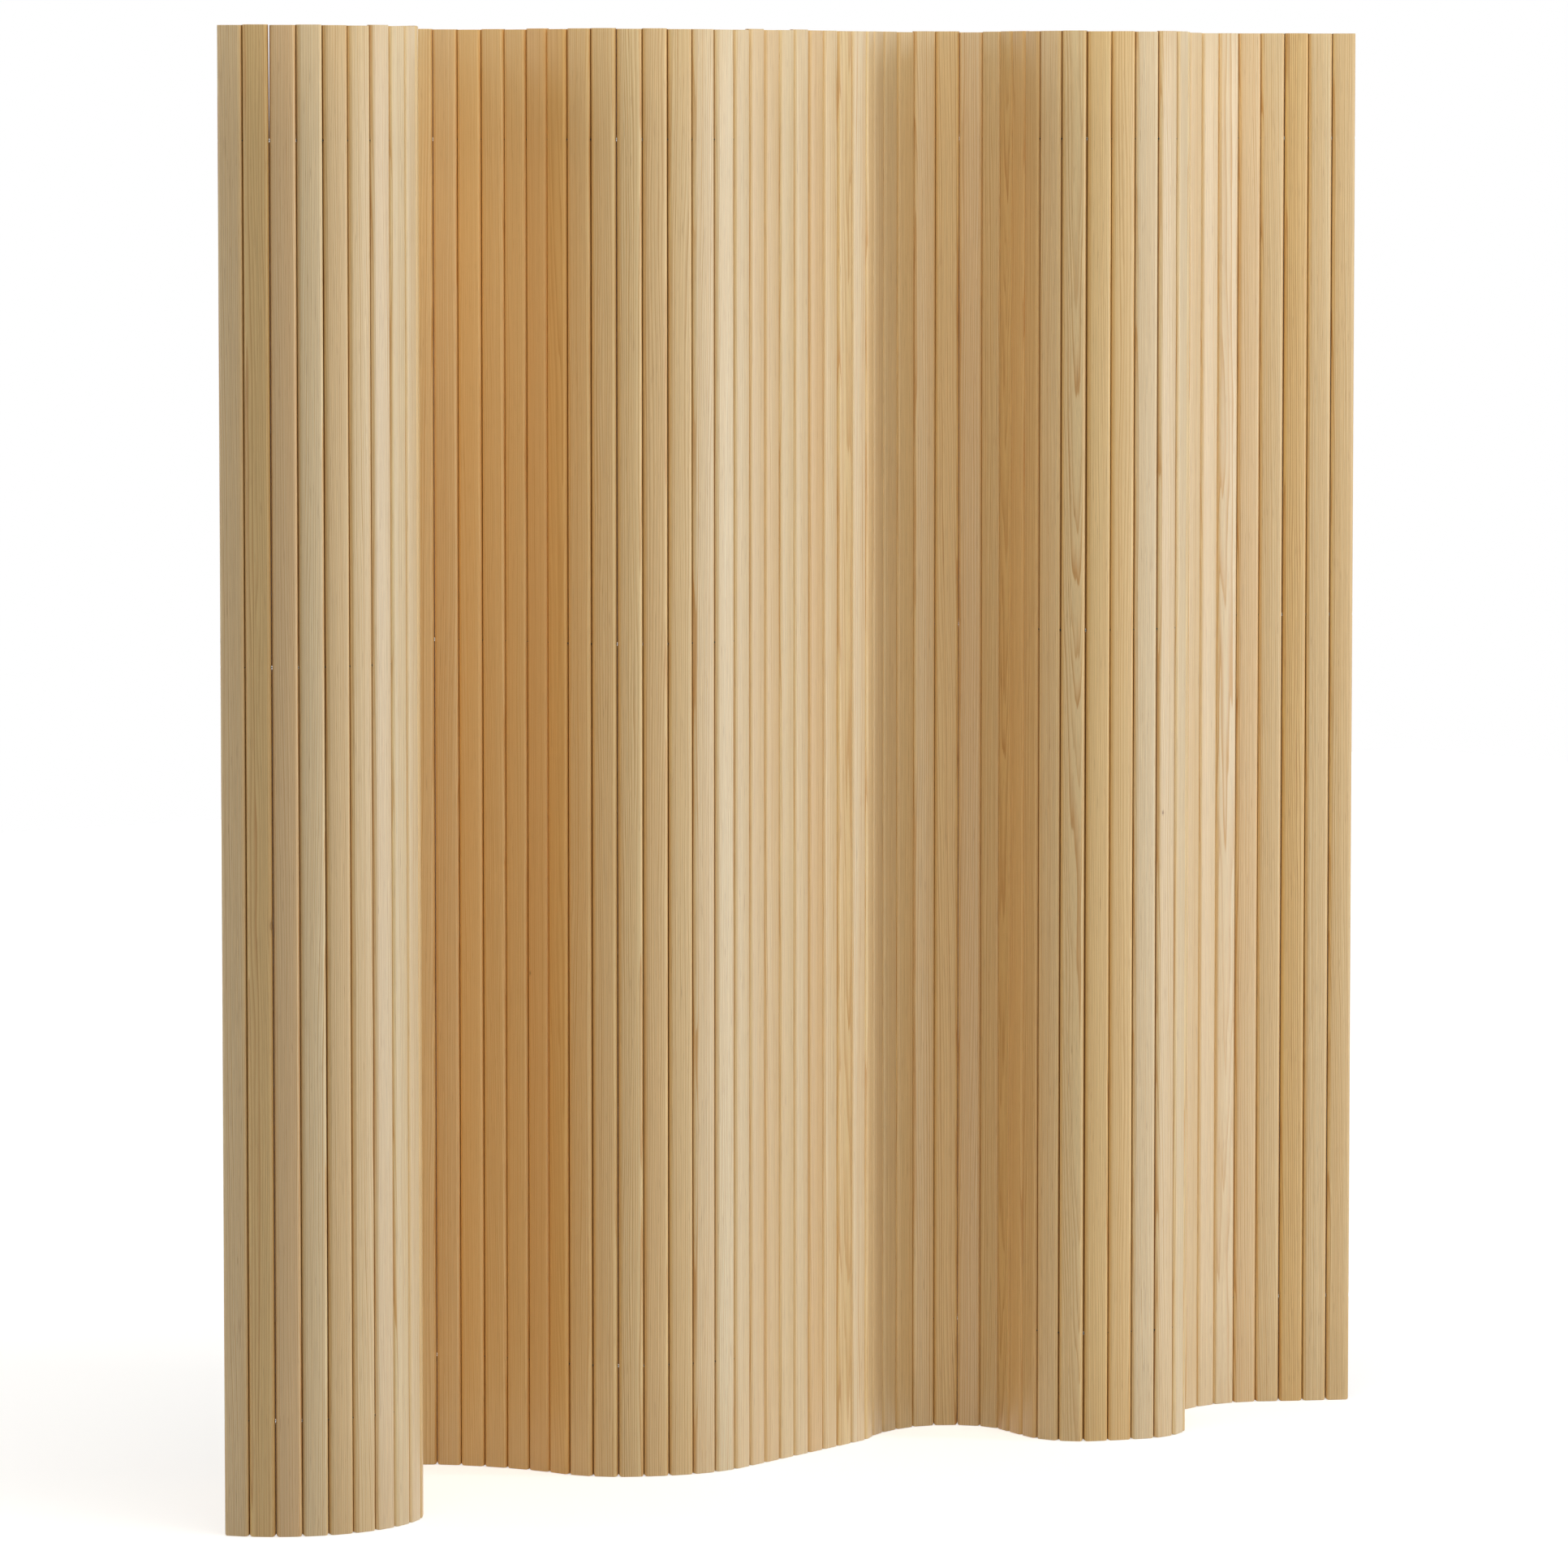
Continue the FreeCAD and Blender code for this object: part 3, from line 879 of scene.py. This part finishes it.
steel = new_finish("drawn_steel_wire")
place = add(steel, PLACE, output="Object")
per_metre = [count / MM for count in SCRATCHES_PER_MM]
place = add(steel, VECTOR_MATHS, {0: place, 1: per_metre}, operation="MULTIPLY")
scratches = add(steel, NOISE, {"Vector": place, "Scale": 1.0, "Detail": 3.0, "Roughness": 0.6})
STEEL_STOPS = [(0.25, linear("4A4A4B")), (0.75, linear("7C7C7D"))]
drawn = {
    "Base Color": add(steel, RAMP, {0: scratches}, stops=STEEL_STOPS),
    "Metallic": 1.0,
    "Roughness": add(steel, MATHS, {0: scratches, 1: 0.25, 2: 0.35}, operation="MULTIPLY_ADD"),
    "Normal": add(steel, BUMP, {"Strength": 0.2, "Distance": SCRATCH_DEPTH, "Height": scratches}),
}
connect(steel, steel.node_tree.nodes["Principled BSDF"], drawn)
for spans in wire_spans.values():
    for span in spans:
        span.data.materials.append(steel)
print("steel nodes", len(steel.node_tree.nodes))

# %% Sleeve aluminium
# the jaws leave dents about as wide as their teeth, and handling leaves a broader haze
DENTS_PER_MM = 1.4
HAZE_PER_MM = 0.26
DENT_DEPTH = 0.1 * MM

aluminium = new_finish("crimped_aluminium")
place = add(aluminium, PLACE, output="Object")
marks = []
for per_mm, detail, roughness in ((DENTS_PER_MM, 2.0, 0.5), (HAZE_PER_MM, 3.0, 0.6)):
    spread = add(aluminium, VECTOR_MATHS, {0: place, 1: [per_mm / MM] * 3}, operation="MULTIPLY")
    inputs = {"Vector": spread, "Scale": 1.0, "Detail": detail, "Roughness": roughness}
    marks.append(add(aluminium, NOISE, inputs))
dents, haze = marks
ALUMINIUM_STOPS = [(0.3, linear("A9AAAC")), (0.7, linear("D5D6D8"))]
crimped = {
    "Base Color": add(aluminium, RAMP, {0: haze}, stops=ALUMINIUM_STOPS),
    "Metallic": 1.0,
    "Roughness": add(aluminium, MATHS, {0: haze, 1: 0.3, 2: 0.3}, operation="MULTIPLY_ADD"),
    "Normal": add(aluminium, BUMP, {"Strength": 0.3, "Distance": DENT_DEPTH, "Height": dents}),
}
connect(aluminium, aluminium.node_tree.nodes["Principled BSDF"], crimped)
for sleeve in sleeves:
    sleeve.data.materials.append(aluminium)
print("aluminium nodes", len(aluminium.node_tree.nodes))

# %% [markdown]
# ## Floor, light and camera
#
# The screen stands on a pale floor in a white room. A tall window on the right is the main light and draws
# the edge between light and shade. Pale walls on the left and in front and the ceiling send soft, faintly
# warm light back. The camera looks slightly down from eye height through a long lens.
#
# Floor and room show white to the camera and in reflections, while the lamps do nearly all the lighting.

# %% Floor
FLOOR_SIZE = 14
FLOOR_DROP = 0.4 * MM
bpy.ops.mesh.primitive_plane_add(size=FLOOR_SIZE, location=(0, 0, -FLOOR_DROP))
floor = finish_object(bpy.context.object, "studio_floor")
print("floor", FLOOR_SIZE, "m")


# %% Floor paint
# The paint is pale and matt. The floor runs out into the white of the room, so only the ground near the
# screen keeps a shadow: there the floor's own white is weaker.
LIFT_NEAR = 0.55
LIFT_FAR = 0.95
LIFT_REACH = 5.0


def seen_by_camera(owner):
    """One for light that reaches the camera straight, off a glossy face or through glass, else zero."""
    seen = add(owner, LIGHT_PATH, output="Is Camera Ray")
    for ray in ("Is Glossy Ray", "Is Transmission Ray"):
        other = add(owner, LIGHT_PATH, output=ray)
        seen = add(owner, MATHS, {0: seen, 1: other}, operation="MAXIMUM")
    return seen


paint = new_finish("studio_floor_paint")
place = add(paint, PLACE, output="Object")
mottle = add(paint, NOISE, {"Vector": place, "Scale": 3.0, "Detail": 3.0, "Roughness": 0.5})
shader = paint.node_tree.nodes["Principled BSDF"]
pale = add(paint, RAMP, {0: mottle}, stops=[(0.0, grey(0.78)), (1.0, grey(0.82))])
connect(paint, shader, {"Base Color": pale, "Roughness": 0.6})

away = add(paint, VECTOR_MATHS, {0: place}, "Value", operation="LENGTH")
away = add(paint, MATHS, {0: away, 1: LIFT_REACH}, operation="DIVIDE")
away = add(paint, MATHS, {0: away, 1: 1.0}, operation="MINIMUM")
lift = add(paint, MATHS, {0: away, 1: LIFT_FAR - LIFT_NEAR, 2: LIFT_NEAR}, operation="MULTIPLY_ADD")
lift = add(paint, MATHS, {0: seen_by_camera(paint), 1: lift}, operation="MULTIPLY")
glow = add(paint, "ShaderNodeEmission", {"Color": grey(1.0), "Strength": lift})
both = add(paint, "ShaderNodeAddShader", {0: shader.outputs[0], 1: glow})
connect(paint, paint.node_tree.nodes["Material Output"], {"Surface": both})
floor.data.materials.append(paint)
print("paint nodes", len(paint.node_tree.nodes))

# %% World
WORLD_LIGHT = 0.04
world = bpy.data.worlds.new("studio")
bpy.context.scene.world = world
world.use_nodes = True
white = {0: seen_by_camera(world), 1: 1.0 - WORLD_LIGHT, 2: WORLD_LIGHT}
shown = add(world, MATHS, white, operation="MULTIPLY_ADD")
connect(world, world.node_tree.nodes["Background"], {"Color": grey(1.0), "Strength": shown})
print("world light", WORLD_LIGHT)

# %% Camera
# fitted to the photograph, so that the slats' edges and ends fall where they do there
CAMERA_PLACE = Vector((-5.19155, -6.99714, 1.41221))
CAMERA_AZIMUTH = math.radians(-36.723)
CAMERA_PITCH = math.radians(4.610)
FOCAL_LENGTH = 190.82
SENSOR = 36.0

camera_data = bpy.data.cameras.new("photograph_camera")
camera = bpy.data.objects.new("photograph_camera", camera_data)
bpy.context.scene.collection.objects.link(camera)
camera.location = CAMERA_PLACE
camera.rotation_euler = (math.pi / 2 - CAMERA_PITCH, 0, CAMERA_AZIMUTH)
camera_data.sensor_width = SENSOR
camera_data.sensor_fit = "HORIZONTAL"
camera_data.lens = FOCAL_LENGTH
camera_data.clip_end = 100
bpy.context.scene.camera = camera
print("camera", tuple(round(c, 3) for c in CAMERA_PLACE), "lens", FOCAL_LENGTH)

# %% Lights
SCREEN_MIDDLE = Vector((0, 0, 0.8))
# degrees to the right of the camera's direction, metres away and up, width, height, watts and colour
LAMPS = {
    "window_light": (82, 4.5, 1.25, 0.8, 2.9, 75, "FFFFFF"),
    "left_wall_light": (-78, 4.5, 1.25, 1.8, 2.9, 37, "FFF9EE"),
    "front_wall_light": (45, 4.5, 1.25, 1.8, 2.9, 25, "FFF9EE"),
    "ceiling_light": (5, 1.2, 3.9, 2.5, 2.5, 68, "FFF9EE"),
}


def around(angle, distance, up):
    """A place around the screen, with the angle counted from the camera's side of it."""
    turn = math.radians(angle)
    look = Vector((-math.sin(CAMERA_AZIMUTH), math.cos(CAMERA_AZIMUTH), 0))
    side = Vector((look.y, -look.x, 0))
    return side * (distance * math.sin(turn)) + look * (-distance * math.cos(turn)) + Vector((0, 0, up))


def soft_light(name, place, aim, width, height, power, colour):
    """A lamp as large as a window or a wall, so that its shadows are soft."""
    data = bpy.data.lights.new(name, "AREA")
    data.shape = "RECTANGLE"
    data.size = width
    data.size_y = height
    data.energy = power
    data.color = linear(colour)[:3]
    lamp = bpy.data.objects.new(name, data)
    bpy.context.scene.collection.objects.link(lamp)
    lamp.location = place
    lamp.rotation_euler = (aim - place).to_track_quat("-Z", "Y").to_euler()
    return lamp


for name, (angle, distance, up, width, height, power, colour) in LAMPS.items():
    soft_light(name, around(angle, distance, up), SCREEN_MIDDLE, width, height, power, colour)

bpy.context.scene.view_settings.view_transform = "Standard"
print("lights", len(bpy.data.lights))
